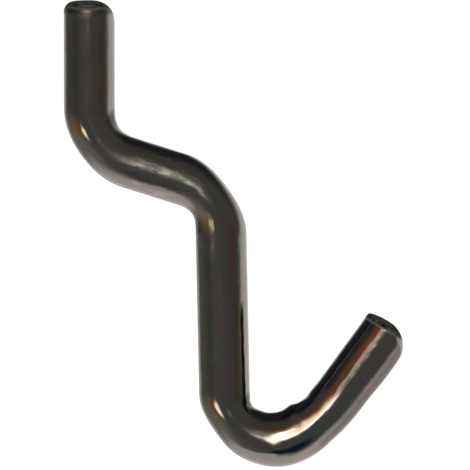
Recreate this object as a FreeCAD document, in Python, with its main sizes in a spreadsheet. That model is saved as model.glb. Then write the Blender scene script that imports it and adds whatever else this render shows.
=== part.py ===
import FreeCAD
import Part
import math
import os
import Sketcher

# Pegboard hook, cold-bent from one length of round steel rod. Millimetres.
# The hook lies in the XZ plane: +X points away from the board, +Z is up, and Y
# runs along the board. The origin is on the rod's centre line, halfway along the
# short arm that passes through the board's hole.

Vector = FreeCAD.Vector
HOOK_PLANE = "XZ_Plane"

# Driving dimensions: name, value, and what it measures
DRIVING_DIMENSIONS = [
    ("rod_diameter", 6.0, "diameter of the round rod"),
    ("stub_length", 12.55, "straight stub behind the board, to its end face"),
    ("heel_bend_radius", 6.85, "centre line radius between the stub and the arm"),
    ("heel_flattening", 0.46, "how much thinner the rod is in the heel bend"),
    ("arm_slope", 17.6, "degrees that the arm falls towards the front"),
    ("arm_length", 6.0, "straight arm through the board"),
    ("shoulder_bend_radius", 7.15, "centre line radius between the arm and the shank"),
    ("shoulder_flattening", 0.78, "how much thinner the rod is in the shoulder bend"),
    ("shank_lean", 1.2, "degrees that the shank leaves the vertical, foot outward"),
    ("shank_length", 18.45, "straight shank in front of the board"),
    ("hook_bend_radius", 5.95, "centre line radius of the hook's bottom"),
    ("hook_bend_angle", 126.0, "degrees that the hook's bottom turns"),
    ("hook_flattening", 0.62, "how much thinner the rod is where the hook begins"),
    ("hook_swell", 0.5, "how much thicker the rod is under the hook's seat"),
    ("pin_mark_height", 0.32, "how far the swell's end is pushed inwards by the bending pin"),
    ("pin_hollow_depth", 0.16, "hollow inside the slack bend, just past the pin's mark"),
    ("bend_spread", 0.16, "how much wider the rod is across a flattened bend"),
    ("slack_bend_radius", 21.2, "centre line radius of the slack bend into the tip"),
    ("tip_slope", 54.0, "degrees that the tip rises"),
    ("tip_length", 9.95, "straight tip, to the front edge of its end face"),
    ("tip_cut_skew", 9.0, "degrees that the tip's end face is off square"),
    ("stub_front_roll", 2.35, "radius rolled over at the front of the stub's end"),
    ("stub_edge_radius", 1.2, "radius round the rest of the stub's end"),
    ("tip_front_roll", 3.2, "radius rolled over at the front of the tip's end"),
    ("tip_edge_radius", 0.25, "radius round the rest of the tip's end"),
    ("roll_angle", 82.0, "degrees that a rolled-over front turns"),
    ("roll_offset", 2.2, "how far behind the rod's axis a rolled-over front is centred"),
]

# Places along the hook's bottom, as fractions of the length of its bend
FLATTENED = (0.04, 0.49)
SWELL_RISES = (0.43, 0.77)
BREADTH_RISES = (0.1, 0.77)
PIN_MARK_RISES = (0.72, 1.0)

# Places along the slack bend, as fractions of its length
SWELL_FALLS = (0.03, 0.26)
BREADTH_FALLS = (0.0, 1.0)
PIN_HOLLOW = (0.2, 0.64)


def fill_sheet(document):
    """The driving dimensions, one row each, with their names as aliases."""
    sheet = document.addObject("Spreadsheet::Sheet", "Dimensions")
    for row, (name, value, meaning) in enumerate(DRIVING_DIMENSIONS, start=1):
        sheet.set(f"A{row}", name)
        sheet.set(f"B{row}", str(value))
        sheet.set(f"C{row}", meaning)
        sheet.setAlias(f"B{row}", name)
    document.recompute()
    return sheet


def origin_plane(body, role):
    """One of the body's own origin planes."""
    for feature in body.Origin.OriginFeatures:
        if feature.Role == role:
            return feature
    raise ValueError(role)


def bound_constraint(sketch, name, kind, *rest):
    """Adds a named constraint; the last argument is the cell or sum that drives it."""
    *geometry, expression = rest
    start_value = sketch.evalExpression(expression)
    if kind == "Angle":
        start_value = math.radians(start_value)
    number = sketch.addConstraint(Sketcher.Constraint(kind, *geometry, start_value))
    sketch.renameConstraint(number, name)
    sketch.setExpression(f"Constraints.{name}", expression)


class RodWalk:
    """Draws the rod's centre line in a sketch, one straight or arc after another."""

    def __init__(self, sketch, start, heading):
        self.sketch = sketch
        self.point = start
        self.heading = math.radians(heading)
        self.last = None
        self.last_end = None

    def direction(self):
        return Vector(math.cos(self.heading), math.sin(self.heading), 0)

    def join(self, geometry, first_end, second_end):
        if self.last is not None:
            self.sketch.addConstraint(
                Sketcher.Constraint("Tangent", self.last, self.last_end, geometry, first_end))
        self.last = geometry
        self.last_end = second_end
        return geometry

    def straight(self, length):
        end = self.point + self.direction() * length
        number = self.sketch.addGeometry(Part.LineSegment(self.point, end), False)
        self.point = end
        return self.join(number, 1, 2)

    def arc(self, radius, turn):
        """A positive turn is to the left."""
        side = 1 if turn > 0 else -1
        sweep = math.radians(turn)
        to_left = Vector(-math.sin(self.heading), math.cos(self.heading), 0)
        centre = self.point + to_left * (side * radius)
        from_angle = self.heading - side * math.pi / 2
        to_angle = from_angle + sweep
        circle = Part.Circle(centre, Vector(0, 0, 1), radius)
        low, high = sorted((from_angle, to_angle))
        number = self.sketch.addGeometry(Part.ArcOfCircle(circle, low, high), False)
        self.heading += sweep
        self.point = centre + Vector(math.cos(to_angle), math.sin(to_angle), 0) * radius
        ends = (1, 2) if side > 0 else (2, 1)
        return self.join(number, *ends)


def stub_end_point(size):
    """Where the centre line starts, for the middle of the arm to lie at the origin."""
    slope = math.radians(size["arm_slope"])
    radius = size["heel_bend_radius"]
    arm_start = Vector(-math.cos(slope), math.sin(slope), 0) * (size["arm_length"] / 2)
    bend_centre = arm_start + Vector(math.sin(slope), math.cos(slope), 0) * radius
    return bend_centre + Vector(-radius, size["stub_length"], 0)


def draw_centre_line(body, size):
    """The rod's centre line, from the stub's end face to the tip's."""
    sketch = body.newObject("Sketcher::SketchObject", "CentreLine")
    sketch.AttachmentSupport = [(origin_plane(body, HOOK_PLANE), "")]
    sketch.MapMode = "FlatFace"

    walk = RodWalk(sketch, stub_end_point(size), -90)
    stub = walk.straight(size["stub_length"])
    heel = walk.arc(size["heel_bend_radius"], 90 - size["arm_slope"])
    arm = walk.straight(size["arm_length"])
    shoulder = walk.arc(size["shoulder_bend_radius"], -(90 - size["arm_slope"] - size["shank_lean"]))
    shank = walk.straight(size["shank_length"])
    bottom = walk.arc(size["hook_bend_radius"], size["hook_bend_angle"])
    slack_turn = size["tip_slope"] - size["shank_lean"] - (size["hook_bend_angle"] - 90)
    slack = walk.arc(size["slack_bend_radius"], slack_turn)
    tip = walk.straight(size["tip_length"])

    sketch.addConstraint(Sketcher.Constraint("Symmetric", arm, 1, arm, 2, -1, 1))
    sketch.addConstraint(Sketcher.Constraint("Vertical", stub))
    bound_constraint(sketch, "stub_length", "Distance", stub, "Dimensions.stub_length")
    bound_constraint(sketch, "heel_radius", "Radius", heel, "Dimensions.heel_bend_radius")
    bound_constraint(sketch, "arm_length", "Distance", arm, "Dimensions.arm_length")
    bound_constraint(sketch, "arm_slope", "Angle", arm, 1, -1, 1, "Dimensions.arm_slope")
    bound_constraint(sketch, "shoulder_radius", "Radius", shoulder, "Dimensions.shoulder_bend_radius")
    bound_constraint(sketch, "shank_length", "Distance", shank, "Dimensions.shank_length")
    bound_constraint(sketch, "shank_slope", "Angle", shank, 1, -1, 1, "90 - Dimensions.shank_lean")
    bound_constraint(sketch, "bottom_radius", "Radius", bottom, "Dimensions.hook_bend_radius")
    bound_constraint(sketch, "bottom_turn", "Angle", bottom, "Dimensions.hook_bend_angle")
    bound_constraint(sketch, "slack_radius", "Radius", slack, "Dimensions.slack_bend_radius")
    bound_constraint(sketch, "tip_slope", "Angle", -1, 1, tip, 1, "Dimensions.tip_slope")
    bound_constraint(sketch, "tip_length", "Distance", tip, "Dimensions.tip_length")
    return sketch


class Rod:
    """The rod along its centre line, made of straights, bends and sheared ends."""

    HEEL_BEND = "Edge2"
    SHOULDER_BEND = "Edge4"
    HOOK_BEND = "Edge6"
    SLACK_BEND = "Edge7"
    HALF_ROD = "Dimensions.rod_diameter / 2"

    def __init__(self, body, centre_line):
        self.body = body
        self.centre_line = centre_line

    def section_sketch(self, name, bend, fraction):
        """An empty sketch square to a bend: +X across the hook, +Y away from the bend's centre."""
        sketch = self.body.newObject("Sketcher::SketchObject", name)
        sketch.AttachmentSupport = [(self.centre_line, bend)]
        sketch.MapMode = "FrenetNB"
        sketch.MapPathParameter = fraction
        quarter_turn = FreeCAD.Rotation(Vector(0, 0, 1), -90)
        sketch.AttachmentOffset = FreeCAD.Placement(Vector(0, 0, 0), quarter_turn)
        return sketch

    def section(self, name, bend, fraction, depth=HALF_ROD, breadth=HALF_ROD, shift="0"):
        """A round or oval section: half its depth in the hook's plane, half its breadth
        across it, and its shift away from the bend's centre."""
        sketch = self.section_sketch(name, bend, fraction)
        half_depth = sketch.evalExpression(depth)
        half_breadth = sketch.evalExpression(breadth)
        centre = Vector(0, sketch.evalExpression(shift), 0)
        if depth == breadth:
            sketch.addGeometry(Part.Circle(centre, Vector(0, 0, 1), half_depth), False)
            bound_constraint(sketch, "half_depth", "Radius", 0, depth)
        else:
            side = centre + Vector(half_breadth, 0, 0)
            front = centre + Vector(0, half_depth, 0)
            sketch.addGeometry(Part.Ellipse(side, front, centre), False)
            sketch.exposeInternalGeometry(0)
            sketch.addConstraint(Sketcher.Constraint("Horizontal", 1))
            bound_constraint(sketch, "breadth", "Distance", 1, f"2 * ({breadth})")
            bound_constraint(sketch, "depth", "Distance", 2, f"2 * ({depth})")
        sketch.addConstraint(Sketcher.Constraint("PointOnObject", 0, 3, -2))
        if shift == "0":
            sketch.addConstraint(Sketcher.Constraint("PointOnObject", 0, 3, -1))
        else:
            bound_constraint(sketch, "shift", "DistanceY", -1, 1, 0, 3, shift)
        return sketch

    def straight(self, name, bend, fraction, length, backwards=False):
        """A round straight that starts at one end of a bend."""
        pad = self.body.newObject("PartDesign::Pad", name)
        pad.Profile = self.section(f"{name}Section", bend, fraction)
        pad.Reversed = not backwards
        pad.setExpression("Length", length)
        self.body.Document.recompute()

    def bend(self, name, bend, sections):
        """A bend through its sections, in order along the centre line."""
        pipe = self.body.newObject("PartDesign::AdditivePipe", name)
        pipe.Profile = sections[0]
        pipe.Spine = (self.centre_line, [bend])
        pipe.Mode = "Frenet"
        pipe.Transformation = "Multisection"
        pipe.Sections = [(sketch, [""]) for sketch in sections[1:]]
        self.body.Document.recompute()

    def flattened_bend(self, name, bend, flattening, steps=8):
        """A cold bend: thinnest in the hook's plane, and widest across it, halfway round."""
        sections = []
        for step in range(steps + 1):
            fraction = step / steps
            flat = bump(fraction, 0, 1)
            sections.append(self.pressed_section(f"{name}{step}", bend, fraction, flattening, flat))
        self.bend(name, bend, sections)

    def pressed_section(self, name, bend, fraction, flattening="0", flat=0.0, swell=0.0, broad=0.0,
                        mark=0.0, hollow=0.0):
        """A section with its shares of flattening, of swelling in the hook's plane and across
        it, and of the bending pin's mark and hollow on its inner side."""
        depth = self.HALF_ROD
        breadth = self.HALF_ROD
        shift = "0"
        if swell > 0.001:
            depth += f" + {swell:.4f} * Dimensions.hook_swell / 2"
        if broad > 0.001:
            breadth += f" + {broad:.4f} * Dimensions.hook_swell / 2"
        if mark > 0.001:
            shift += f" - {mark:.4f} * Dimensions.pin_mark_height / 2"
        if hollow > 0.001:
            depth += f" - {hollow:.4f} * Dimensions.pin_hollow_depth / 2"
            shift += f" + {hollow:.4f} * Dimensions.pin_hollow_depth / 2"
        if flat > 0.001:
            depth += f" - {flat:.4f} * {flattening} / 2"
            breadth += f" + {flat:.4f} * Dimensions.bend_spread / 2"
        return self.section(name, bend, fraction, depth, breadth, shift)

    def hook_bottom(self, steps=16):
        """The hook's bottom: flattened where it leaves the shank, swollen under the seat,
        most gradually across the hook's plane, and pushed inwards at its end by the pin."""
        sections = []
        for step in range(steps + 1):
            along = step / steps
            sections.append(self.pressed_section(
                f"HookBottom{step}", self.HOOK_BEND, along, "Dimensions.hook_flattening",
                flat=bump(along, *FLATTENED),
                swell=rise(along, *SWELL_RISES),
                broad=rise(along, *BREADTH_RISES),
                mark=rise(along, *PIN_MARK_RISES)))
        self.bend("HookBottom", self.HOOK_BEND, sections)

    def slack_bend(self, steps=24):
        """The slack bend into the tip: the swell falls away, slowest across the hook's plane,
        and leaves a small hollow inside."""
        sections = []
        for step in range(steps + 1):
            along = step / steps
            left = 1 - rise(along, *SWELL_FALLS)
            sections.append(self.pressed_section(
                f"SlackBend{step}", self.SLACK_BEND, along,
                swell=left, broad=1 - rise(along, *BREADTH_FALLS),
                mark=left, hollow=bump(along, *PIN_HOLLOW)))
        self.bend("SlackBend", self.SLACK_BEND, sections)

    def end_sketch(self, name, bend, fraction, length, outward):
        """An empty sketch in the hook's plane at the middle of an end face: +X runs along
        the centre line, and +Y towards the centre of the bend beside it."""
        sketch = self.body.newObject("Sketcher::SketchObject", name)
        sketch.AttachmentSupport = [(self.centre_line, bend)]
        sketch.MapMode = "FrenetTN"
        sketch.MapPathParameter = fraction
        sketch.setExpression(".AttachmentOffset.Base.x", f"{outward} * {length}")
        return sketch

    def rolled_front(self, name, sketch, roll, outward, front):
        """Where the shear came in, the front of an end rolls over, deepest at the front
        and running out towards the sides."""
        angle = "Dimensions.roll_angle * 1 deg"
        value = sketch.evalExpression
        rise = value(f"{roll} * sin({angle})")
        inset = value(f"{roll} * (1 - cos({angle}))")
        half = value(self.HALF_ROD)
        centre = Vector(-outward * rise, front * (half - value(roll)), 0)
        start = Vector(-outward * rise, front * half, 0)
        end = Vector(0, front * (half - inset), 0)
        above = Vector(outward * half, end.y, 0)
        corner = Vector(outward * half, front * 2 * half, 0)
        below = Vector(start.x, corner.y, 0)

        from_start = math.atan2(start.y - centre.y, start.x - centre.x)
        from_end = math.atan2(end.y - centre.y, end.x - centre.x)
        circle = Part.Circle(centre, Vector(0, 0, 1), value(roll))
        starts_low = outward * front < 0
        low, high = (from_start, from_end) if starts_low else (from_end, from_start)
        start_end, face_end = (1, 2) if starts_low else (2, 1)
        sketch.addGeometry(Part.ArcOfCircle(circle, low, high), False)
        for first, second in ((end, above), (above, corner), (corner, below), (below, start)):
            sketch.addGeometry(Part.LineSegment(first, second), False)
        axis_height = -front * value("Dimensions.roll_offset")
        axis = Part.LineSegment(Vector(-half, axis_height, 0), Vector(half, axis_height, 0))
        sketch.addGeometry(axis, True)

        sketch.addConstraint(Sketcher.Constraint("Coincident", 0, face_end, 1, 1))
        for number in (1, 2, 3):
            sketch.addConstraint(Sketcher.Constraint("Coincident", number, 2, number + 1, 1))
        sketch.addConstraint(Sketcher.Constraint("Coincident", 4, 2, 0, start_end))
        for number in (1, 3, 5):
            sketch.addConstraint(Sketcher.Constraint("Horizontal", number))
        for number in (2, 4):
            sketch.addConstraint(Sketcher.Constraint("Vertical", number))
        sketch.addConstraint(Sketcher.Constraint("Vertical", 0, 3, 0, start_end))
        sketch.addConstraint(Sketcher.Constraint("PointOnObject", 0, face_end, -2))
        bound_constraint(sketch, "roll", "Radius", 0, roll)
        bound_constraint(sketch, "rise", "DistanceX", -1, 1, 0, start_end,
                         f"{-outward} * {roll} * sin({angle})")
        bound_constraint(sketch, "rod_side", "DistanceY", -1, 1, 0, start_end, f"{front} * {self.HALF_ROD}")
        bound_constraint(sketch, "above", "DistanceX", -1, 1, 2, 1, f"{outward} * {self.HALF_ROD}")
        bound_constraint(sketch, "beyond", "DistanceY", -1, 1, 2, 2, f"{front} * Dimensions.rod_diameter")
        bound_constraint(sketch, "axis_offset", "DistanceY", -1, 1, 5, 1, f"{-front} * Dimensions.roll_offset")
        bound_constraint(sketch, "axis_from", "DistanceX", -1, 1, 5, 1, f"-{self.HALF_ROD}")
        bound_constraint(sketch, "axis_to", "DistanceX", -1, 1, 5, 2, self.HALF_ROD)

        groove = self.body.newObject("PartDesign::Groove", name)
        groove.Profile = sketch
        groove.ReferenceAxis = (sketch, ["Axis0"])
        groove.Angle = 360
        self.body.Document.recompute()

    def skew_cut(self):
        """The shear left the tip's end face off square, with its inner side lower."""
        sketch = self.end_sketch("TipCutOutline", self.SLACK_BEND, 1.0, "Dimensions.tip_length", 1)
        sketch.AttachmentOffset = FreeCAD.Placement(
            sketch.AttachmentOffset.Base, FreeCAD.Rotation(Vector(0, 0, 1), 1))
        face_edge = "Dimensions.tip_front_roll * (1 - cos(Dimensions.roll_angle * 1 deg))"
        sketch.setExpression(".AttachmentOffset.Base.y", f"{face_edge} - {self.HALF_ROD}")
        sketch.setExpression(".AttachmentOffset.Rotation.Angle", "Dimensions.tip_cut_skew")
        half = sketch.evalExpression("Dimensions.rod_diameter")
        corners = [Vector(0, -half, 0), Vector(half, -half, 0), Vector(half, half, 0), Vector(0, half, 0)]
        for number, corner in enumerate(corners):
            following = corners[(number + 1) % 4]
            sketch.addGeometry(Part.LineSegment(corner, following), False)
        for number in range(4):
            following = (number + 1) % 4
            sketch.addConstraint(Sketcher.Constraint("Coincident", number, 2, following, 1))
        sketch.addConstraint(Sketcher.Constraint("Horizontal", 0))
        sketch.addConstraint(Sketcher.Constraint("Horizontal", 2))
        sketch.addConstraint(Sketcher.Constraint("Vertical", 1))
        sketch.addConstraint(Sketcher.Constraint("Symmetric", 3, 1, 3, 2, -1, 1))
        bound_constraint(sketch, "width", "Distance", 3, "2 * Dimensions.rod_diameter")
        bound_constraint(sketch, "reach", "Distance", 0, "Dimensions.rod_diameter")
        pocket = self.body.newObject("PartDesign::Pocket", "TipCut")
        pocket.Profile = sketch
        pocket.Type = "ThroughAll"
        pocket.SideType = "Symmetric"
        self.body.Document.recompute()

    def round_end(self, name, bend, fraction, length, outward, radius):
        """Rounds the edge between a straight and the flat face at its end."""
        towards = self.end_point(bend, fraction, length, outward)
        tip = self.body.Tip
        faces = [face for face in tip.Shape.Faces if face.Surface.TypeId == "Part::GeomPlane"]
        face = min(faces, key=lambda flat: flat.CenterOfMass.distanceToPoint(towards))
        names = []
        for number, edge in enumerate(tip.Shape.Edges, start=1):
            beside = [side.Surface.TypeId for side in tip.Shape.ancestorsOfType(edge, Part.Face)]
            on_face = any(edge.isSame(bound) for bound in face.Edges)
            if on_face and "Part::GeomCylinder" in beside:
                names.append(f"Edge{number}")
        fillet = self.body.newObject("PartDesign::Fillet", name)
        fillet.Base = (tip, names)
        fillet.setExpression("Radius", radius)
        self.body.Document.recompute()

    def end_point(self, bend, fraction, length, outward):
        """The middle of an end face."""
        edge = self.centre_line.Shape.getElement(bend)
        first, last = edge.ParameterRange
        place = first + fraction * (last - first)
        return edge.valueAt(place) + edge.tangentAt(place) * (outward * self.body.evalExpression(length))


def rise(place, start, end):
    """A share that grows smoothly from 0 at start to 1 at end."""
    progress = min(1.0, max(0.0, (place - start) / (end - start)))
    return math.sin(math.pi / 2 * progress) ** 2


def bump(place, start, end):
    """A share that grows smoothly from 0 at start to 1 halfway, and falls to 0 at end."""
    progress = min(1.0, max(0.0, (place - start) / (end - start)))
    return math.sin(math.pi * progress) ** 2


def build_hook_rod(document, size):
    """The whole rod, from its stub to its tip."""
    body = document.addObject("PartDesign::Body", "HookRod")
    body.Label = "hook_rod"
    centre_line = draw_centre_line(body, size)
    document.recompute()
    rod = Rod(body, centre_line)

    stub_length = "Dimensions.stub_length"
    rod.flattened_bend("HeelBend", rod.HEEL_BEND, "Dimensions.heel_flattening")
    rod.straight("Stub", rod.HEEL_BEND, 0.0, stub_length, backwards=True)
    rod.round_end("StubEdge", rod.HEEL_BEND, 0.0, stub_length, -1, "Dimensions.stub_edge_radius")
    stub_roll = rod.end_sketch("StubRollOutline", rod.HEEL_BEND, 0.0, stub_length, -1)
    rod.rolled_front("StubRoll", stub_roll, "Dimensions.stub_front_roll", outward=-1, front=1)

    rod.straight("Arm", rod.HEEL_BEND, 1.0, "Dimensions.arm_length")
    rod.flattened_bend("ShoulderBend", rod.SHOULDER_BEND, "Dimensions.shoulder_flattening")
    rod.straight("Shank", rod.SHOULDER_BEND, 0.0, "Dimensions.shank_length", backwards=True)
    rod.hook_bottom()
    rod.slack_bend()

    tip_length = "Dimensions.tip_length"
    rod.straight("Tip", rod.SLACK_BEND, 1.0, tip_length)
    tip_roll = rod.end_sketch("TipRollOutline", rod.SLACK_BEND, 1.0, tip_length, 1)
    rod.rolled_front("TipRoll", tip_roll, "Dimensions.tip_front_roll", outward=1, front=-1)
    rod.skew_cut()
    rod.round_end("TipEdge", rod.SLACK_BEND, 1.0, tip_length, 1, "Dimensions.tip_edge_radius")
    return body


def check(document, body):
    """Stops if any object failed, or the rod is not one valid solid."""
    for item in document.Objects:
        if "Invalid" in item.State or "Error" in item.State:
            raise RuntimeError(f"{item.Label} failed: {item.State}")
    shape = body.Shape
    if shape.isNull() or not shape.isValid() or len(shape.Solids) != 1:
        raise RuntimeError(f"{body.Label} is not one valid solid")


def main():
    os.makedirs("parts", exist_ok=True)
    document = FreeCAD.newDocument("pegboard_hook")
    fill_sheet(document)
    size = {name: value for name, value, meaning in DRIVING_DIMENSIONS}
    body = build_hook_rod(document, size)
    document.recompute()
    check(document, body)
    body.Shape.exportStep(f"parts/{body.Label}.step")
    box = body.Shape.optimalBoundingBox(True, False)
    print(f"{body.Label}: {body.Shape.Volume:.1f} mm3, {len(body.Shape.Faces)} faces")
    print(f"x {box.XMin:.2f} {box.XMax:.2f}  y {box.YMin:.2f} {box.YMax:.2f}  z {box.ZMin:.2f} {box.ZMax:.2f}")


main()
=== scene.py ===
import math

import bmesh
import bpy
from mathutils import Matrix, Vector


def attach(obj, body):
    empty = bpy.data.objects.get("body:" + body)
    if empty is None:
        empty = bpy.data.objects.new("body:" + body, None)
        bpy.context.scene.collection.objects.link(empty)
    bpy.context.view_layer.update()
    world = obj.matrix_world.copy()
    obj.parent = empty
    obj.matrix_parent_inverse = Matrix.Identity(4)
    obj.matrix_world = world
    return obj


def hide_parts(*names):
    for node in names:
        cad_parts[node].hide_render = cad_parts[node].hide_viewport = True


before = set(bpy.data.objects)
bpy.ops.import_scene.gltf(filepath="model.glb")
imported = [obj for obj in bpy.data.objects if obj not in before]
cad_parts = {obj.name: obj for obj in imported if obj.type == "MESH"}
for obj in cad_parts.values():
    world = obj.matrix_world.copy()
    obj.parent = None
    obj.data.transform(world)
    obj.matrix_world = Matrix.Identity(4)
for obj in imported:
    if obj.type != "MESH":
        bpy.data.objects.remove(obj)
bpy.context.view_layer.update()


# The rod's path
# The hook is one length of round steel rod, cold-bent in one plane. Its centre line runs
# from the stub behind the board, through the arm, the shank and the hook, to the tip.
MM = 0.001
ROD_RADIUS = 3.0 * MM
STUB_END = Vector((-7.638, 0, 19.986)) * MM
STUB_LENGTH = 12.55 * MM
HEEL_BEND_RADIUS = 6.85 * MM
ARM_SLOPE = 17.6
ARM_LENGTH = 6.0 * MM
SHOULDER_BEND_RADIUS = 7.15 * MM
SHANK_LEAN = 1.2
SHANK_LENGTH = 18.45 * MM
HOOK_BEND_RADIUS = 5.95 * MM
HOOK_BEND_ANGLE = 126.0
SLACK_BEND_RADIUS = 21.2 * MM
TIP_SLOPE = 54.0
TIP_LENGTH = 9.95 * MM
RING_SPACING = 0.2 * MM

# How far the cold bends are pressed out of round
HEEL_FLATTENING = 0.46 * MM
SHOULDER_FLATTENING = 0.78 * MM
HOOK_FLATTENING = 0.62 * MM
BEND_SPREAD = 0.16 * MM
HOOK_SWELL = 0.5 * MM
PIN_MARK_HEIGHT = 0.32 * MM
PIN_HOLLOW_DEPTH = 0.16 * MM
TIP_GROWTH = 0.2 * MM

# Where this starts and ends, in shares of the bend or straight that it lies in
BEND_SPAN = (0.0, 1.0)
HOOK_FLATTENING_SPAN = (0.04, 0.49)
HOOK_SWELL_SPAN = (0.43, 0.77)
HOOK_SPREAD_SPAN = (0.1, 0.77)
PIN_MARK_SPAN = (0.72, 1.0)
SWELL_FALL_SPAN = (0.03, 0.26)
SPREAD_FALL_SPAN = (0.0, 1.0)
PIN_HOLLOW_SPAN = (0.2, 0.64)
TIP_GROWTH_SPAN = (0.0, 0.5)


def rise(place, start, end):
    """A share that grows smoothly from 0 at start to 1 at end."""
    progress = min(1.0, max(0.0, (place - start) / (end - start)))
    return math.sin(math.pi / 2 * progress) ** 2


def bump(place, start, end):
    """A share that grows smoothly from 0 at start to 1 halfway, and falls to 0 at end."""
    progress = min(1.0, max(0.0, (place - start) / (end - start)))
    return math.sin(math.pi * progress) ** 2


class Ring:
    """One cross-section of the rod: its place, its half depth in the hook's plane, its half
    breadth across it, how an end is rolled over, leans or closes there, how worn it is and how much
    painted shade its inner side gets."""

    def __init__(self, centre, along, run):
        self.centre = centre
        self.along = along
        self.run = run
        self.depth = ROD_RADIUS
        self.breadth = ROD_RADIUS
        self.shift = 0.0
        self.roll_centre = 0.0
        self.roll_radius = 4 * ROD_RADIUS
        self.spread = 1.0
        self.face_centre = 0.0
        self.lean = 0.0
        self.inner_shade_weight = 0.0
        self.scuffed = 0.0
        self.rubbed = 0.0


def flatten(ring, share, depth):
    """Presses a ring flatter in the hook's plane, and a little broader across it."""
    ring.depth -= share * depth / 2
    ring.breadth += share * BEND_SPREAD / 2


def swell(ring, share, spread, mark):
    """Swells a ring's depth and breadth, and raises the bending pin's mark on its inner side."""
    ring.depth += share * HOOK_SWELL / 2
    ring.breadth += spread * HOOK_SWELL / 2
    ring.shift += mark * PIN_MARK_HEIGHT / 2


def round_ring(ring, share):
    """A straight keeps the rod round."""


def heel_ring(ring, share):
    """The heel is pressed flat, most of all halfway round."""
    flatten(ring, bump(share, *BEND_SPAN), HEEL_FLATTENING)


def shoulder_ring(ring, share):
    """The shoulder is pressed flat, most of all halfway round."""
    flatten(ring, bump(share, *BEND_SPAN), SHOULDER_FLATTENING)


def hook_ring(ring, share):
    """The hook is flattened where it leaves the shank, and swollen under the seat."""
    spread = rise(share, *HOOK_SPREAD_SPAN)
    swell(ring, rise(share, *HOOK_SWELL_SPAN), spread, rise(share, *PIN_MARK_SPAN))
    flatten(ring, bump(share, *HOOK_FLATTENING_SPAN), HOOK_FLATTENING)


def slack_ring(ring, share):
    """The swell falls away past the bending pin's mark, and leaves a small hollow inside."""
    left = 1 - rise(share, *SWELL_FALL_SPAN)
    swell(ring, left, 1 - rise(share, *SPREAD_FALL_SPAN), left)
    hollow = bump(share, *PIN_HOLLOW_SPAN) * PIN_HOLLOW_DEPTH / 2
    ring.depth -= hollow
    ring.shift -= hollow


def tip_ring(ring, share):
    """The tip thickens a little towards its sheared end, on its outer side."""
    grown = rise(share, *TIP_GROWTH_SPAN) * TIP_GROWTH / 2
    ring.depth += grown
    ring.shift -= grown


# Where the hook is worn or painted with shade, in millimetres along the rod
# The inner sides of the bends get painted shade, darkest in their middles: the middle and the reach of
# each, and 1 or -1 for its side. The arm is scuffed by the board's hole, and the board's face
# rubs on the back of the shoulder.
INNER_SHADE_PLACES = ((14.6, 3.2, 1), (34.2, 2.6, -1), (56.6, 2.8, 1))
ARM_SCUFF = (15.5, 19.5, 29.0, 33.5)
BOARD_RUB = (31.0, 33.5, 36.5, 41.0)


def plateau(place, edges):
    """A share that is 1 between the two middle edges and 0 beyond the outer ones."""
    return rise(place, edges[0], edges[1]) * (1 - rise(place, edges[2], edges[3]))


def set_wear_and_inner_shade(ring):
    """Sets a ring's wear and the painted shade on its inner side, from its place along the rod."""
    place = ring.run / MM
    for middle_place, reach, side in INNER_SHADE_PLACES:
        ring.inner_shade_weight += side * math.exp(-((place - middle_place) / reach) ** 2)
    ring.scuffed = plateau(place, ARM_SCUFF)
    ring.rubbed = plateau(place, BOARD_RUB)


def towards(heading):
    """The direction of a heading in the hook's plane."""
    return Vector((math.cos(heading), 0, math.sin(heading)))


def walked(heading, sweep, length, share):
    """The straight-line step from the start of a stretch to a share of its length."""
    if sweep == 0:
        return towards(heading) * length * share
    radius = length / sweep
    end = heading + sweep * share
    return Vector((math.sin(end) - math.sin(heading), 0, math.cos(heading) - math.cos(end))) * radius


def rod_rings():
    """Rings along the whole path, a little apart, without the two ends' own rings."""
    slack_turn = TIP_SLOPE - SHANK_LEAN - (HOOK_BEND_ANGLE - 90)
    shoulder_turn = 90 - ARM_SLOPE - SHANK_LEAN
    stretches = [
        (STUB_LENGTH, 0.0, round_ring),
        (HEEL_BEND_RADIUS, 90 - ARM_SLOPE, heel_ring),
        (ARM_LENGTH, 0.0, round_ring),
        (SHOULDER_BEND_RADIUS, -shoulder_turn, shoulder_ring),
        (SHANK_LENGTH, 0.0, round_ring),
        (HOOK_BEND_RADIUS, HOOK_BEND_ANGLE, hook_ring),
        (SLACK_BEND_RADIUS, slack_turn, slack_ring),
        (TIP_LENGTH, 0.0, tip_ring),
    ]
    rings = []
    point = STUB_END.copy()
    heading = math.radians(-90)
    run = 0.0
    for size, turn, shape in stretches:
        sweep = math.radians(turn)
        length = size if turn == 0 else size * abs(sweep)
        count = math.ceil(length / RING_SPACING)
        for step in range(1 if rings else 0, count + 1):
            share = step / count
            place = point + walked(heading, sweep, length, share)
            ring = Ring(place, towards(heading + sweep * share), run + length * share)
            shape(ring, share)
            set_wear_and_inner_shade(ring)
            rings.append(ring)
        point = point + walked(heading, sweep, length, 1.0)
        heading += sweep
        run += length
    return rings


# The rod's two ends
# Both ends were sheared from a long bar: the shear rolled the front edge over, deepest at
# the front and running out towards the sides, and left the tip's face off square.
ROLL_ANGLE = math.radians(82.0)
ROLL_OFFSET = 2.2 * MM
CREASE_ROUNDING = 0.25 * MM
STUB_FRONT_ROLL = 2.35 * MM
STUB_EDGE_RADIUS = 1.2 * MM
TIP_FRONT_ROLL = 3.2 * MM
TIP_EDGE_RADIUS = 0.25 * MM
TIP_CUT_SKEW = math.radians(9.0)
SKEW_REACH = 3.6 * MM
END_RINGS = 30
END_SCUFF = 2.4
END_SCUFF_SPAN = (0.8, 1.6)

# The rings that close an end's face: how wide each is, and how far apart they lie in depth
CAP_SPREADS = (0.12, 0.4, 0.7, 0.88, 0.97)
CAP_STEP = 0.0004 * MM


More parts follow.
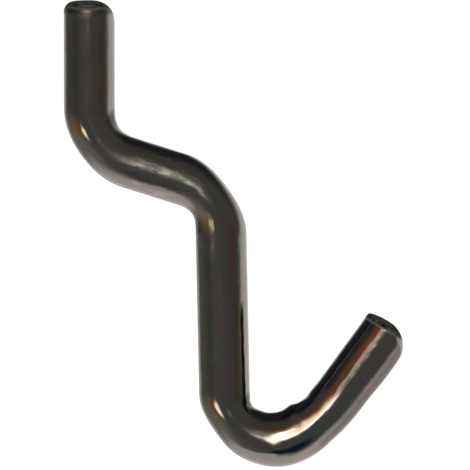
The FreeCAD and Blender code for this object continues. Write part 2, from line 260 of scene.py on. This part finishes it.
def end_rings(face, way, roll, edge_radius, skew, growth):
    """Rings of one end, from the middle of its face to where the rod is fully round. The way
    is 1 at the stub, with its rolled edge on the inner side, and -1 at the tip, on the outer."""
    depth_of_roll = roll * math.sin(ROLL_ANGLE)
    reach = depth_of_roll + CREASE_ROUNDING
    face_edge = ROD_RADIUS + growth - roll * (1 - math.cos(ROLL_ANGLE))
    depths = [0.0] * len(CAP_SPREADS)
    depths += [reach * (1 - math.cos(math.pi / 2 * step / END_RINGS)) for step in range(END_RINGS + 1)]
    rings = []
    for number, depth in enumerate(depths):
        inward = way * (depth + CAP_STEP * number)
        ring = Ring(face.centre + face.along * inward, face.along, face.run + inward)
        rounded = max(0.0, edge_radius - depth)
        ring.depth -= edge_radius - math.sqrt(edge_radius ** 2 - rounded ** 2)
        ring.breadth = ring.depth
        ring.depth += growth / 2
        ring.shift = way * growth / 2
        ring.roll_centre = -way * ROLL_OFFSET
        below = max(0.0, depth_of_roll - depth)
        ring.roll_radius = ROLL_OFFSET + ROD_RADIUS + growth - roll + math.sqrt(roll ** 2 - below ** 2)
        if depth > depth_of_roll:
            ring.roll_radius += depth - depth_of_roll
        ring.face_centre = way * (face_edge - ROD_RADIUS + edge_radius) / 2
        if number < len(CAP_SPREADS):
            ring.spread = CAP_SPREADS[number]
        ring.lean = -math.tan(skew) * (1 - rise(depth, 0, SKEW_REACH))
        ring.scuffed = END_SCUFF * (1 - rise(depth / edge_radius, *END_SCUFF_SPAN))
        rings.append(ring)
    return rings, reach


middle = rod_rings()
first, last = middle[0], middle[-1]
stub_end, stub_reach = end_rings(first, 1, STUB_FRONT_ROLL, STUB_EDGE_RADIUS, 0.0, 0.0)
tip_end, tip_reach = end_rings(last, -1, TIP_FRONT_ROLL, TIP_EDGE_RADIUS, TIP_CUT_SKEW, TIP_GROWTH)
least_gap = RING_SPACING / 3
middle = [ring for ring in middle if stub_reach + least_gap < ring.run < last.run - tip_reach - least_gap]
all_rings = stub_end + middle + tip_end[::-1]


# The rod's skin
# The path carries each ring's sizes as attributes, and the node tree sweeps a circle along
# it, presses it out of round, rolls the ends over and closes them.
SIDES = 112
WAVINESS = 0.02 * MM
WAVES_PER_METRE = 260.0
ROLLER_MARK_PLACE = 63.8 * MM
ROLLER_MARK_LENGTH = 1.1 * MM
ROLLER_MARK_SIDE = 0.33
ROLLER_MARK_BREADTH = 0.26
ROLLER_MARK_HEIGHT = 0.15 * MM
SKEW_HINGE = 0.245 * MM
INNER_SHADE_SIDE = (0.5, 0.9)
RUBBED_SIDE = (0.12, 0.36)

path_mesh = bpy.data.meshes.new("rod_path")
path_mesh.from_pydata([ring.centre for ring in all_rings],
                      [(number, number + 1) for number in range(len(all_rings) - 1)], [])


def store(name, values):
    """Stores three numbers for each ring of the path."""
    attribute = path_mesh.attributes.new(name, "FLOAT_VECTOR", "POINT")
    attribute.data.foreach_set("vector", [number for value in values for number in value])


store("centre", [ring.centre for ring in all_rings])
store("along", [ring.along for ring in all_rings])
store("section", [(ring.depth, ring.breadth, ring.shift) for ring in all_rings])
store("roll", [(ring.roll_centre, ring.roll_radius, ring.run) for ring in all_rings])
store("cap", [(ring.spread, ring.face_centre, ring.lean) for ring in all_rings])
store("marks", [(ring.inner_shade_weight, ring.scuffed, ring.rubbed) for ring in all_rings])


class Tree:
    """A node tree under construction. Most of its methods add one node and return its result."""

    def __init__(self, tree):
        self.tree = tree

    def input(self, name, kind):
        self.tree.interface.new_socket(name, in_out="INPUT", socket_type=kind)

    def output(self, name, kind):
        self.tree.interface.new_socket(name, in_out="OUTPUT", socket_type=kind)

    def node(self, kind, **settings):
        made = self.tree.nodes.new(kind)
        for name, value in settings.items():
            setattr(made, name, value)
        return made

    def link(self, output, socket):
        self.tree.links.new(output, socket)

    def give(self, socket, value):
        """Links a socket to another node's output, or sets it to a value."""
        if isinstance(value, bpy.types.NodeSocket):
            self.link(value, socket)
        else:
            socket.default_value = value

    def feed(self, node, values):
        """Gives a node's first inputs their links or values."""
        for number, value in enumerate(values):
            self.give(node.inputs[number], value)

    def step(self, kind, geometry, inputs=None, **settings):
        """The geometry after one more node, whose other inputs are given by name."""
        made = self.node(kind, **settings)
        self.link(geometry, made.inputs[0])
        for name, value in (inputs or {}).items():
            self.give(made.inputs[name], value)
        return made.outputs[0]

    def stored(self, geometry, name, value):
        """The geometry with a vector stored on each of its points."""
        return self.step("GeometryNodeStoreNamedAttribute", geometry, {"Name": name, "Value": value},
                         data_type="FLOAT_VECTOR", domain="POINT")

    def attribute(self, name):
        made = self.node("GeometryNodeInputNamedAttribute", data_type="FLOAT_VECTOR")
        made.inputs["Name"].default_value = name
        return made.outputs["Attribute"]

    def number(self, operation, *values):
        made = self.node("ShaderNodeMath", operation=operation)
        self.feed(made, values)
        return made.outputs[0]

    def squared(self, value):
        return self.number("POWER", value, 2.0)

    def ramp(self, value, start, end, low=0.0, high=1.0):
        """A smooth change from low to high while the value goes from start to end."""
        made = self.node("ShaderNodeMapRange", interpolation_type="SMOOTHSTEP")
        self.feed(made, (value, start, end, low, high))
        return made.outputs[0]

    def vector(self, operation, *values):
        made = self.node("ShaderNodeVectorMath", operation=operation)
        self.feed(made, values)
        return made.outputs["Value" if operation in ("DOT_PRODUCT", "LENGTH") else "Vector"]

    def scaled(self, vector, factor):
        made = self.node("ShaderNodeVectorMath", operation="SCALE")
        self.link(vector, made.inputs[0])
        self.link(factor, made.inputs["Scale"])
        return made.outputs["Vector"]

    def split(self, vector):
        made = self.node("ShaderNodeSeparateXYZ")
        self.link(vector, made.inputs[0])
        return made.outputs

    def joined(self, x, y, z):
        made = self.node("ShaderNodeCombineXYZ")
        self.feed(made, (x, y, z))
        return made.outputs[0]

    def painted_over(self, colour, share, paint):
        """A colour with a share of paint over it, from the colour sockets of a mix node."""
        made = self.node("ShaderNodeMix", data_type="RGBA")
        self.link(share, made.inputs[0])
        self.give(made.inputs[6], colour)
        self.give(made.inputs[7], paint)
        return made.outputs[2]


rod_tree = Tree(bpy.data.node_groups.new("Bent rod", "GeometryNodeTree"))
rod_tree.input("Path", "NodeSocketGeometry")
rod_tree.input("Sides", "NodeSocketInt")
for name in ("Rod Radius", "Crease Rounding", "Waviness", "Roller Mark Place", "Roller Mark Height"):
    rod_tree.input(name, "NodeSocketFloat")
rod_tree.input("Material", "NodeSocketMaterial")
rod_tree.output("Rod", "NodeSocketGeometry")
given = rod_tree.node("NodeGroupInput").outputs

curve = rod_tree.step("GeometryNodeMeshToCurve", given["Path"])
circle = rod_tree.node("GeometryNodeCurvePrimitiveCircle")
rod_tree.link(given["Sides"], circle.inputs["Resolution"])
circle.inputs["Radius"].default_value = 1.0
on_circle = rod_tree.node("GeometryNodeInputPosition").outputs[0]
profile = rod_tree.stored(circle.outputs["Curve"], "around", on_circle)
skin = rod_tree.step("GeometryNodeCurveToMesh", curve, {"Profile Curve": profile, "Fill Caps": True})
skin = rod_tree.step("GeometryNodeFlipFaces", skin)

# The place of a point in its ring: x towards the inner side of the hook, y across it
turn_x, turn_y, _ = rod_tree.split(rod_tree.attribute("around"))
half_depth, half_breadth, shift = rod_tree.split(rod_tree.attribute("section"))
roll_centre, roll_radius, run = rod_tree.split(rod_tree.attribute("roll"))
spread, face_centre, lean = rod_tree.split(rod_tree.attribute("cap"))
inner_shade_weight, scuffed, rubbed = rod_tree.split(rod_tree.attribute("marks"))
on_rod = rod_tree.joined(
    rod_tree.number("MULTIPLY", turn_x, given["Rod Radius"]),
    rod_tree.number("MULTIPLY", turn_y, given["Rod Radius"]), run)
waves = rod_tree.node("ShaderNodeTexNoise")
waves.inputs["Scale"].default_value = WAVES_PER_METRE
waves.inputs["Detail"].default_value = 1.0
rod_tree.link(on_rod, waves.inputs["Vector"])
wave = rod_tree.number("MULTIPLY", rod_tree.number("SUBTRACT", waves.outputs[0], 0.5), given["Waviness"])

# The low mark that the bending roller left on the front of the hook's bottom
mark_along = rod_tree.number("SUBTRACT", run, given["Roller Mark Place"])
mark_along = rod_tree.number("DIVIDE", mark_along, ROLLER_MARK_LENGTH)
mark_across = rod_tree.number("ADD", turn_x, ROLLER_MARK_SIDE)
mark_across = rod_tree.number("DIVIDE", mark_across, ROLLER_MARK_BREADTH)
mark_reach = rod_tree.number("ADD", rod_tree.squared(mark_along), rod_tree.squared(mark_across))
mark = rod_tree.number("EXPONENT", rod_tree.number("MULTIPLY", mark_reach, -1.0))
mark = rod_tree.number("MULTIPLY", mark, rod_tree.number("LESS_THAN", turn_y, 0.0))
wave = rod_tree.number("MULTIPLY_ADD", mark, given["Roller Mark Height"], wave)
inner_shift = rod_tree.number("MULTIPLY", shift, rod_tree.squared(turn_x))
x = rod_tree.number("MULTIPLY_ADD", turn_x, rod_tree.number("ADD", half_depth, wave), inner_shift)
y = rod_tree.number("MULTIPLY", turn_y, rod_tree.number("ADD", half_breadth, wave))

# The rolled-over front: nothing lies further out from the roll's centre than its radius
from_roll = rod_tree.joined(rod_tree.number("SUBTRACT", x, roll_centre), y, 0.0)
distance = rod_tree.vector("LENGTH", from_roll)
kept = rod_tree.number("SMOOTH_MIN", distance, roll_radius, given["Crease Rounding"])
x, y, _ = rod_tree.split(rod_tree.scaled(from_roll, rod_tree.number("DIVIDE", kept, distance)))
x = rod_tree.number("ADD", x, roll_centre)

# The end face closes towards its centre, and the tip's leans from a hinge just past the middle
x = rod_tree.number("MULTIPLY_ADD", rod_tree.number("SUBTRACT", x, face_centre), spread, face_centre)
y = rod_tree.number("MULTIPLY", y, spread)
past_hinge = rod_tree.number("MAXIMUM", rod_tree.number("ADD", x, SKEW_HINGE), 0.0)
ahead = rod_tree.number("MULTIPLY", past_hinge, lean)

along = rod_tree.attribute("along")
inner = rod_tree.vector("CROSS_PRODUCT", along, (0.0, 1.0, 0.0))
place = rod_tree.vector("ADD", rod_tree.attribute("centre"), rod_tree.scaled(inner, x))
place = rod_tree.vector("ADD", place, rod_tree.joined(0.0, y, 0.0))
place = rod_tree.vector("ADD", place, rod_tree.scaled(along, ahead))
skin = rod_tree.step("GeometryNodeSetPosition", skin, {"Position": place})

# Where each point lay on the straight rod before it was bent
skin = rod_tree.stored(skin, "unbent", on_rod)

# How each point is marked: x where a bend's inner side gets painted shade, y where it is scuffed, z where
# it is rolled
inner_shade_mask = rod_tree.ramp(rod_tree.number("MULTIPLY", turn_x, inner_shade_weight), *INNER_SHADE_SIDE)
back_side = rod_tree.ramp(rod_tree.number("MULTIPLY", turn_x, -1.0), *RUBBED_SIDE)
scuffs = rod_tree.number("MAXIMUM", scuffed, rod_tree.number("MULTIPLY", rubbed, back_side))
rolled = rod_tree.ramp(rod_tree.number("SUBTRACT", distance, kept), 0.0, CREASE_ROUNDING)
skin = rod_tree.stored(skin, "wear_and_inner_shade", rod_tree.joined(inner_shade_mask, scuffs, rolled))
skin = rod_tree.step("GeometryNodeSetShadeSmooth", skin)
skin = rod_tree.step("GeometryNodeRealizeInstances", skin)
skin = rod_tree.step("GeometryNodeSetMaterial", skin, {"Material": given["Material"]})
rod_tree.link(skin, rod_tree.node("NodeGroupOutput").inputs["Rod"])


# The rod's finish
# A thin dark plating on drawn steel: glossy, with the drawing die's fine lines, faint stains, dull specks
# and painted shade on the bends' inner sides. The arm is scuffed and shows bare flecks, the ends' edges
# are painted darker and the sheared ends are matt.
PLATING = (0.266, 0.257, 0.246, 1)
GREENISH = (0.222, 0.262, 0.220, 1)
PURPLISH = (0.305, 0.234, 0.258, 1)
SPECK_AND_INNER_SHADE_COLOUR = (0.065, 0.062, 0.056, 1)
ROLLED_COLOUR = (0.150, 0.165, 0.180, 1)
BARE_COLOUR = (0.44, 0.425, 0.40, 1)
DARK_END_EDGE_COLOUR = (0.105, 0.102, 0.094, 1)
SHEARED_COLOUR = (0.007, 0.007, 0.006, 1)
TORN_COLOUR = (0.050, 0.047, 0.041, 1)
SPECK_SHARE = 0.55
ROLLED_SHARE = 0.7
FLECK_SHARE = 0.45
END_SHARE = 0.7
END_EDGE_LEVELS = (1.0, 2.0)
GLOSSY_ROUGHNESS = 0.10
SMUDGE_ROUGHNESS = 0.05
SCUFF_ROUGHNESS = 0.10
ROLLED_ROUGHNESS = 0.14
SHEARED_ROUGHNESS = 0.60
SHEARED_START = 0.90 * MM
SHEARED_FULL = 0.35 * MM
SCRAPES_START = 4 * MM
SCRAPES_FULL = 5 * MM

# Each kind of spot: its lengths across and along the rod, its detail and its part of the noise
GREEN_SPOTS = (1.2 * MM, 3.2 * MM, 3.0, 23.0)
PURPLE_SPOTS = (1.0 * MM, 2.6 * MM, 3.0, 7.0)
SPECKS = (0.22 * MM, 0.3 * MM, 1.0, 3.0)
FLECKS = (0.6 * MM, 2.4 * MM, 2.0, 29.0)
SMUDGES = (2.5 * MM, 5.0 * MM, 3.0, 11.0)
DRAWN_LINES = (0.35 * MM, 8.0 * MM, 2.0, 5.0)
UNEVEN_SPOTS = (1.3 * MM, 2.2 * MM, 1.0, 9.0)
SCRAPES = (0.7 * MM, 2.0 * MM, 3.0, 17.0)
GRAIN_SIZE = (0.8 * MM, 0.16 * MM, 0.8 * MM)
GRAIN_DETAIL = 4.0

# The levels of the noise between which each kind of spot appears
GREEN_LEVELS = (0.44, 0.66)
PURPLE_LEVELS = (0.47, 0.68)
SPECK_LEVELS = (0.70, 0.78)
FLECK_LEVELS = (0.50, 0.70)
SMUDGE_LEVELS = (0.35, 0.75)
GRAIN_LEVELS = (0.40, 0.66)

# How deep the relief is, in millimetres
DRAWN_LINE_DEPTH = 0.005
UNEVEN_DEPTH = 0.045
SCRAPE_DEPTH = 0.055
TORN_DEPTH = 0.04

plating = bpy.data.materials.new("dark_plated_steel")
plating.use_nodes = True
shader = plating.node_tree.nodes["Principled BSDF"]
shader.inputs["Specular IOR Level"].default_value = 0.0
finish = Tree(plating.node_tree)


def surface(name):
    """A vector that the skin carries on each of its points."""
    return finish.node("ShaderNodeAttribute", attribute_name=name).outputs["Vector"]


def noise(place, spot_size, detail, offset=0.0):
    """Noise from a place and the lengths of the spots along its three axes."""
    scaled = finish.vector("MULTIPLY_ADD", place, tuple(1 / length for length in spot_size),
                           (offset, offset, offset))
    made = finish.node("ShaderNodeTexNoise")
    finish.link(scaled, made.inputs["Vector"])
    made.inputs["Scale"].default_value = 1.0
    made.inputs["Detail"].default_value = detail
    return made.outputs[0]


def stain(across, along, detail, offset):
    """Noise over the straight rod, from the lengths of its spots across and along the rod."""
    return noise(surface("unbent"), (across, across, along), detail, offset)


inner_shade_mask, scuffs, rolled = finish.split(surface("wear_and_inner_shade"))
place_along = finish.split(surface("unbent"))[2]
half_rod = all_rings[-1].run / 2
from_middle = finish.number("ABSOLUTE", finish.number("SUBTRACT", place_along, half_rod))
sheared = finish.ramp(from_middle, half_rod - SHEARED_START, half_rod - SHEARED_FULL)
unsheared = finish.number("SUBTRACT", 1.0, sheared)
away_from_ends = finish.ramp(from_middle, half_rod - SCRAPES_FULL, half_rod - SCRAPES_START, 1.0, 0.0)
scraped = finish.number("MULTIPLY", finish.number("MINIMUM", scuffs, 1.0), away_from_ends)
end_edges = finish.ramp(scuffs, *END_EDGE_LEVELS)
bare_flecks = finish.ramp(stain(*FLECKS), *FLECK_LEVELS, 0.0, FLECK_SHARE)
object_place = finish.node("ShaderNodeTexCoord").outputs["Object"]
grain = finish.ramp(noise(object_place, GRAIN_SIZE, GRAIN_DETAIL), *GRAIN_LEVELS)
torn = finish.number("MULTIPLY", sheared, grain)

colour = finish.painted_over(PLATING, finish.ramp(stain(*GREEN_SPOTS), *GREEN_LEVELS), GREENISH)
colour = finish.painted_over(colour, finish.ramp(stain(*PURPLE_SPOTS), *PURPLE_LEVELS), PURPLISH)
specks = finish.ramp(stain(*SPECKS), *SPECK_LEVELS, 0.0, SPECK_SHARE)
colour = finish.painted_over(colour, specks, SPECK_AND_INNER_SHADE_COLOUR)
# Painted shade on the inner sides of the bends, in the same dark colour as the specks
colour = finish.painted_over(colour, inner_shade_mask, SPECK_AND_INNER_SHADE_COLOUR)
colour = finish.painted_over(colour, finish.number("MULTIPLY", rolled, ROLLED_SHARE), ROLLED_COLOUR)
colour = finish.painted_over(colour, finish.number("MULTIPLY", bare_flecks, scraped), BARE_COLOUR)
# The rounded edges at both ends are painted darker
colour = finish.painted_over(colour, finish.number("MULTIPLY", end_edges, END_SHARE), DARK_END_EDGE_COLOUR)
colour = finish.painted_over(colour, sheared, SHEARED_COLOUR)
colour = finish.painted_over(colour, torn, TORN_COLOUR)
finish.link(colour, shader.inputs["Base Color"])
finish.link(unsheared, shader.inputs["Metallic"])

smudges = finish.ramp(stain(*SMUDGES), *SMUDGE_LEVELS)
roughness = finish.number("MULTIPLY_ADD", smudges, SMUDGE_ROUGHNESS, GLOSSY_ROUGHNESS)
roughness = finish.number("MULTIPLY_ADD", scuffs, SCUFF_ROUGHNESS, roughness)
roughness = finish.number("MULTIPLY_ADD", rolled, ROLLED_ROUGHNESS, roughness)
roughness = finish.number("MULTIPLY_ADD", sheared, SHEARED_ROUGHNESS, roughness)
finish.link(roughness, shader.inputs["Roughness"])

# The relief is cut into the skin: it lies deeper where these numbers are higher
drawn_lines = finish.number("MULTIPLY", stain(*DRAWN_LINES), DRAWN_LINE_DEPTH)
unevenness = finish.number("MULTIPLY", stain(*UNEVEN_SPOTS), UNEVEN_DEPTH)
scrapes = finish.number("MULTIPLY", finish.number("MULTIPLY", stain(*SCRAPES), scraped), SCRAPE_DEPTH)
skin_relief = finish.number("ADD", finish.number("ADD", drawn_lines, unevenness), scrapes)
skin_relief = finish.number("MULTIPLY", skin_relief, unsheared)
torn_relief = finish.number("MULTIPLY", torn, TORN_DEPTH)
relief = finish.node("ShaderNodeBump", invert=True)
relief.inputs["Strength"].default_value = 1.0
relief.inputs["Distance"].default_value = MM
finish.link(finish.number("ADD", skin_relief, torn_relief), relief.inputs["Height"])
finish.link(relief.outputs[0], shader.inputs["Normal"])


def new_object(name, data):
    """An object in the scene, from a mesh, a lamp or a camera."""
    made = bpy.data.objects.new(name, data)
    bpy.context.scene.collection.objects.link(made)
    return made


source = new_object("rod_source", path_mesh)
modifier = source.modifiers.new("Bent rod", "NODES")
modifier.node_group = rod_tree.tree
settings = {
    "Sides": SIDES,
    "Rod Radius": ROD_RADIUS,
    "Crease Rounding": CREASE_ROUNDING,
    "Waviness": WAVINESS,
    "Roller Mark Place": ROLLER_MARK_PLACE,
    "Roller Mark Height": ROLLER_MARK_HEIGHT,
    "Material": plating,
}
for item in rod_tree.tree.interface.items_tree:
    if item.item_type == "SOCKET" and item.name in settings:
        modifier[item.identifier] = settings[item.name]
source.update_tag()
bpy.context.view_layer.update()
evaluated = source.evaluated_get(bpy.context.evaluated_depsgraph_get())
rod_mesh = bpy.data.meshes.new_from_object(evaluated)
bpy.data.objects.remove(source)
for name in ("centre", "along", "section", "roll", "cap", "marks", "around"):
    if name in rod_mesh.attributes:
        rod_mesh.attributes.remove(rod_mesh.attributes[name])
rod = new_object("bent_rod", rod_mesh)
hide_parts("hook_rod")
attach(rod, "root")


# The studio's floor
# A pale floor some way below the hook. It glows a little for the camera, so that it looks as
# white as the surround, and the plating doesn't mirror it.
HOOK_CENTRE = Vector((9.48, 0, -7.6)) * MM
FLOOR_DROP = 60 * MM
FLOOR_HALF_SIDE = 3.0
FLOOR_COLOUR = (0.9, 0.9, 0.9, 1)
FLOOR_GLOW = 1.1
FLOOR_GLOW_SHARE = 0.9
FLOOR_CORNERS = ((-1, -1), (1, -1), (1, 1), (-1, 1))


def emptied(owner):
    """The node tree of a material or a world, with nothing in it yet."""
    owner.use_nodes = True
    owner.node_tree.nodes.clear()
    return Tree(owner.node_tree)


def looked_at(tree):
    """1 where the camera looks, also by a mirror or through glass, and 0 for scattered light."""
    ray = tree.node("ShaderNodeLightPath").outputs
    straight = tree.number("MAXIMUM", ray["Is Camera Ray"], ray["Is Glossy Ray"])
    return tree.number("MAXIMUM", straight, ray["Is Transmission Ray"])


floor_height = HOOK_CENTRE.z - FLOOR_DROP
floor_mesh = bpy.data.meshes.new("floor")
floor_mesh.from_pydata([(side * FLOOR_HALF_SIDE, depth * FLOOR_HALF_SIDE, floor_height)
                        for side, depth in FLOOR_CORNERS], [], [(0, 1, 2, 3)])
floor = new_object("floor", floor_mesh)
floor.visible_glossy = False

pale = bpy.data.materials.new("pale_floor")
pale_tree = emptied(pale)
diffuse = pale_tree.node("ShaderNodeBsdfDiffuse")
diffuse.inputs["Color"].default_value = FLOOR_COLOUR
glow = pale_tree.node("ShaderNodeEmission")
glow.inputs["Strength"].default_value = FLOOR_GLOW
mix = pale_tree.node("ShaderNodeMixShader")
glowing = pale_tree.number("MULTIPLY", looked_at(pale_tree), FLOOR_GLOW_SHARE)
pale_tree.feed(mix, (glowing, diffuse.outputs[0], glow.outputs[0]))
pale_tree.link(mix.outputs[0], pale_tree.node("ShaderNodeOutputMaterial").inputs["Surface"])
floor_mesh.materials.append(pale)


# The room that the plating mirrors
# A dark room around the hook that only mirrors see, painted with the soft light and dark
# patches that fall as bands and highlights on the rod.
CAMERA_ELEVATION = 5.7
ROOM_RADIUS = 2.5
ROOM_SUBDIVISIONS = 5


def direction(azimuth, elevation):
    """Azimuth 0 points at the camera, 90 to the right; both in degrees."""
    turn = math.radians(azimuth)
    up = math.radians(elevation)
    return Vector((math.sin(turn) * math.cos(up), -math.cos(turn) * math.cos(up), math.sin(up)))


patch = Tree(bpy.data.node_groups.new("Studio patch", "ShaderNodeTree"))
for name in ("Direction", "Facing", "Rightwards", "Upwards"):
    patch.input(name, "NodeSocketVector")
for name in ("Half Width", "Half Height", "Softness"):
    patch.input(name, "NodeSocketFloat")
patch.output("Mask", "NodeSocketFloat")
asked = patch.node("NodeGroupInput").outputs
aside = patch.vector("DOT_PRODUCT", asked["Direction"], asked["Rightwards"])
aside = patch.squared(patch.number("DIVIDE", aside, asked["Half Width"]))
above = patch.vector("DOT_PRODUCT", asked["Direction"], asked["Upwards"])
above = patch.squared(patch.number("DIVIDE", above, asked["Half Height"]))
reach = patch.number("SQRT", patch.number("ADD", aside, above))
solid_reach = patch.number("SUBTRACT", 1.0, asked["Softness"])
faded_reach = patch.number("ADD", 1.0, asked["Softness"])
edge = patch.ramp(reach, solid_reach, faded_reach, 1.0, 0.0)
ahead = patch.vector("DOT_PRODUCT", asked["Direction"], asked["Facing"])
mask = patch.number("MULTIPLY", edge, patch.number("GREATER_THAN", ahead, 0.0))
patch.link(mask, patch.node("NodeGroupOutput").inputs["Mask"])

# What the plating mirrors, painted over each other in this order: azimuth, elevation,
# tilt, half width, half height (all in degrees), softness, colour and brightness
ROOM_COLOUR = (0.150, 0.150, 0.140)
ROOM_PATCHES = [
    ("ceiling", 0, 90, 0, 50, 58, 0.35, (0.125, 0.120, 0.105)),
    ("dark_behind", 180, 55, 0, 60, 32, 0.35, (0.030, 0.034, 0.040)),
    ("dark_left", -125, 38, 0, 55, 34, 0.35, (0.030, 0.040, 0.055)),
    ("brown_high_left", -68, 46, 0, 20, 12, 0.5, (0.16, 0.125, 0.10)),
    ("left_wall", -80, 0, 0, 30, 12, 0.5, (0.10, 0.108, 0.102)),
    ("warm_lower_left", -92, -42, 0, 40, 28, 0.5, (0.38, 0.35, 0.29)),
    ("sheet_corner", -110, -66, 0, 24, 20, 0.4, (0.95, 0.88, 0.85)),
    ("under_left", -45, -68, 0, 24, 13, 0.3, (0.98, 0.89, 0.87)),
    ("white_sheet", 142, -42, 0, 57, 60, 0.12, (1.04, 0.95, 0.92)),
    ("sheet_shade", 112, -38, 0, 34, 16, 0.5, (0.62, 0.56, 0.54)),
    ("right_wall", 152, -6, 0, 42, 20, 0.25, (1.0, 0.99, 0.90)),
    ("left_edge", -160, -14, 0, 28, 24, 0.35, (0.68, 0.69, 0.68)),
    ("purple_right", 32, 0, 0, 17, 9, 0.5, (0.155, 0.128, 0.134)),
    ("brown_right", 60, 0, 0, 15, 9, 0.5, (0.135, 0.112, 0.075)),
    ("blue_low", 10, -42, 0, 18, 16, 0.35, (0.012, 0.030, 0.075)),
    ("amber", -70, -17, 0, 15, 5, 0.6, (0.50, 0.20, 0.05)),
    ("left_window", -42, -12.5, 8, 8.5, 3.4, 0.35, (3.4, 2.9, 2.0)),
    ("brown_fringe", -27, 34, 35, 30, 14, 0.4, (0.38, 0.13, 0.06)),
    ("pink_glow", -21, 14.8, 35, 12, 6, 0.4, (1.22, 0.90, 0.86)),
    ("key_halo", -13, 25.5, 25, 12.5, 18.5, 0.3, (1.4, 0.98, 0.72)),
    ("right_halo", 6.5, 25, -12, 6, 15, 0.4, (0.42, 0.43, 0.41)),
    ("key_light", -8.2, 23, 16, 7.8, 14.8, 0.2, (5.8, 5.3, 4.7)),
    ("key_warm_side", -14.5, 23, 20, 5.5, 9.5, 0.5, (3.6, 2.6, 1.9)),
]

room_mesh = bpy.data.meshes.new("dark_room")
shell = bmesh.new()
bmesh.ops.create_icosphere(shell, subdivisions=ROOM_SUBDIVISIONS, radius=ROOM_RADIUS)
bmesh.ops.reverse_faces(shell, faces=shell.faces)
shell.to_mesh(room_mesh)
shell.free()
room_mesh.shade_smooth()
room = new_object("dark_room", room_mesh)
room.location = HOOK_CENTRE
room.rotation_euler.x = math.radians(CAMERA_ELEVATION)
room.visible_camera = False
room.visible_diffuse = False
room.visible_shadow = False
room.visible_transmission = False

walls = bpy.data.materials.new("room_walls")
walls_tree = emptied(walls)
looking = walls_tree.vector("NORMALIZE", walls_tree.node("ShaderNodeTexCoord").outputs["Object"])
colour = (*ROOM_COLOUR, 1)
for name, azimuth, elevation, tilt, width, height, softness, paint in ROOM_PATCHES:
    facing = direction(azimuth, elevation)
    sideways = direction(azimuth + 90, 0)
    upwards = facing.cross(sideways)
    tilted = math.radians(tilt)
    spot = walls_tree.node("ShaderNodeGroup", node_tree=patch.tree, label=name)
    walls_tree.link(looking, spot.inputs["Direction"])
    spot.inputs["Facing"].default_value = facing
    spot.inputs["Rightwards"].default_value = sideways * math.cos(tilted) + upwards * math.sin(tilted)
    spot.inputs["Upwards"].default_value = upwards * math.cos(tilted) - sideways * math.sin(tilted)
    spot.inputs["Half Width"].default_value = math.sin(math.radians(width))
    spot.inputs["Half Height"].default_value = math.sin(math.radians(height))
    spot.inputs["Softness"].default_value = softness
    colour = walls_tree.painted_over(colour, spot.outputs["Mask"], (*paint, 1))
glow = walls_tree.node("ShaderNodeEmission")
walls_tree.link(colour, glow.inputs["Color"])
walls_tree.link(glow.outputs[0], walls_tree.node("ShaderNodeOutputMaterial").inputs["Surface"])
room_mesh.materials.append(walls)


# The studio's light
# One large soft lamp overhead, which the plating doesn't mirror, and a white surround that is
# dimmer as a light than it looks.
LAMP_ELEVATION = 80
LAMP_DISTANCE = 1.2
LAMP_SIZE = 1.2
LAMP_POWER = 18
SURROUND_LIGHT = 0.6
SURROUND_LOOK = 1.0


def aim(thing, azimuth, elevation, distance):
    """Puts a lamp or a camera at a distance from the middle of the hook, and turns it there."""
    back = direction(azimuth, elevation)
    thing.location = HOOK_CENTRE + back * distance
    thing.rotation_mode = "QUATERNION"
    thing.rotation_quaternion = back.to_track_quat("Z", "Y")


lamp_data = bpy.data.lights.new("overhead_lamp", "AREA")
lamp_data.shape = "ELLIPSE"
lamp_data.size = LAMP_SIZE
lamp_data.size_y = LAMP_SIZE
lamp_data.energy = LAMP_POWER
lamp = new_object("overhead_lamp", lamp_data)
lamp.visible_glossy = False
aim(lamp, 0, LAMP_ELEVATION, LAMP_DISTANCE)

world = bpy.data.worlds.new("white_surround")
bpy.context.scene.world = world
world_tree = emptied(world)
background = world_tree.node("ShaderNodeBackground")
strength = world_tree.ramp(looked_at(world_tree), 0.0, 1.0, SURROUND_LIGHT, SURROUND_LOOK)
world_tree.link(strength, background.inputs["Strength"])
world_tree.link(background.outputs[0], world_tree.node("ShaderNodeOutputWorld").inputs["Surface"])


# The camera
# A long lens that looks at the middle of the hook from a little above it.
CAMERA_DISTANCE = 1.2
FRAME_WIDTH = 55.33 * MM
SENSOR_WIDTH = 36.0
CLIP_START = 0.01
CLIP_END = 20.0

camera_data = bpy.data.cameras.new("camera")
camera_data.sensor_width = SENSOR_WIDTH
camera_data.lens = SENSOR_WIDTH * CAMERA_DISTANCE / FRAME_WIDTH
camera_data.clip_start = CLIP_START
camera_data.clip_end = CLIP_END
camera = new_object("camera", camera_data)
aim(camera, 0, CAMERA_ELEVATION, CAMERA_DISTANCE)
bpy.context.scene.camera = camera
bpy.context.scene.view_settings.view_transform = "Standard"
